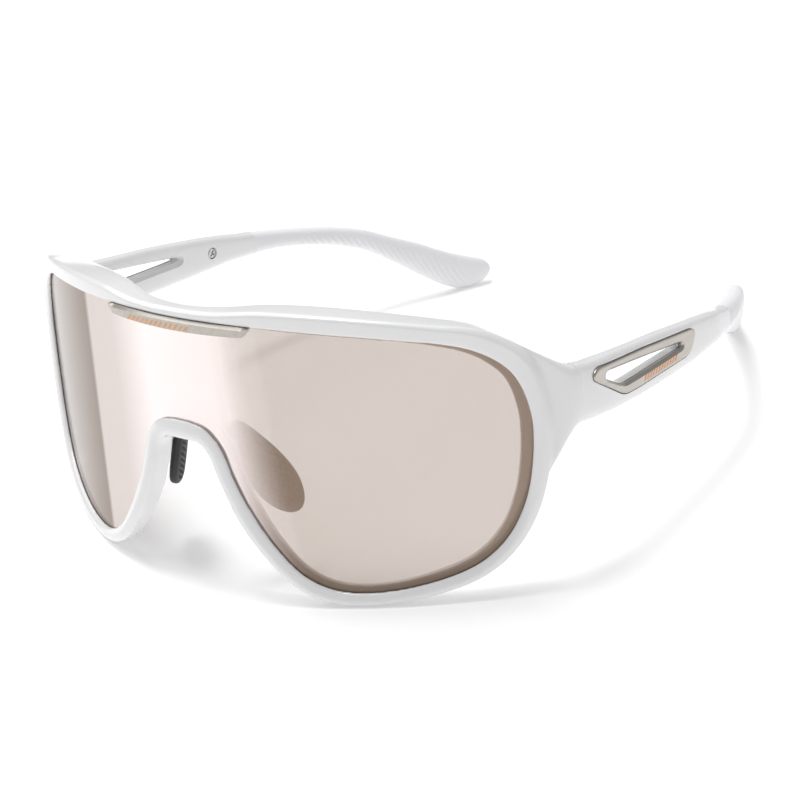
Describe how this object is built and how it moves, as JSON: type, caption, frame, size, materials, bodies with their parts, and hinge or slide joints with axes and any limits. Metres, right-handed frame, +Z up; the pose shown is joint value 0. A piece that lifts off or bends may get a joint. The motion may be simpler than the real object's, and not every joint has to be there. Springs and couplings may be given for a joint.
{
  "type": "wraparound sport sunglasses",
  "caption": "Wraparound sport sunglasses: one mirrored shield lens in a full white rim, with folding temples, metal trim rings, rubber nose pads and soft ear tips.",
  "frame": {"origin": "on the floor under the middle of the open glasses, with the rim bottoms and ear tips resting on it", "axes": "+X to the wearer's left, +Y from the lens towards the ear tips, +Z up"},
  "size_m": [0.1456, 0.1585, 0.0612],
  "materials": {
    "frame_white": "white injection-moulded plastic with a clear gloss",
    "lens_mirror": "taupe shield lens with a soft rose mirror coating",
    "champagne_metal": "satin champagne metal with bright bevels",
    "pad_black": "matt black rubber with a fine diamond grip",
    "tip_white": "soft white moulded tip with a ribbed inner face",
    "hinge_steel": "plain stainless hinge parts and screws"
  },
  "bodies": {
    "front": {"front_frame": "frame_white", "shield_lens": "lens_mirror", "brow_badge": "champagne_metal", "nose_pad_left": "pad_black", "front_hinge_leaf_left": "hinge_steel", "front_leaf_screw_left": "hinge_steel", "hinge_screw_left": "hinge_steel", "nose_pad_right": "pad_black", "front_hinge_leaf_right": "hinge_steel", "front_leaf_screw_right": "hinge_steel", "hinge_screw_right": "hinge_steel"},
    "temple_left": {"temple_left": "frame_white", "temple_trim_left": "champagne_metal", "temple_hinge_leaf_left": "hinge_steel", "temple_leaf_screw_left": "hinge_steel", "tip_core_left": "hinge_steel", "tip_screw_left": "hinge_steel", "ear_tip_left": "tip_white"},
    "temple_right": {"temple_right": "frame_white", "temple_trim_right": "champagne_metal", "temple_hinge_leaf_right": "hinge_steel", "temple_leaf_screw_right": "hinge_steel", "tip_core_right": "hinge_steel", "tip_screw_right": "hinge_steel", "ear_tip_right": "tip_white"}
  },
  "joints": [
    {"name": "temple_left_fold", "type": "hinge", "parent": "front", "child": "temple_left", "pos_m": [0.0634, -0.04135, 0.04], "axis": [0, 0, 1], "range_deg": [0, 82]},
    {"name": "temple_right_fold", "type": "hinge", "parent": "front", "child": "temple_right", "pos_m": [-0.0634, -0.04135, 0.04], "axis": [0, 0, 1], "range_deg": [-74, 0]}
  ]
}
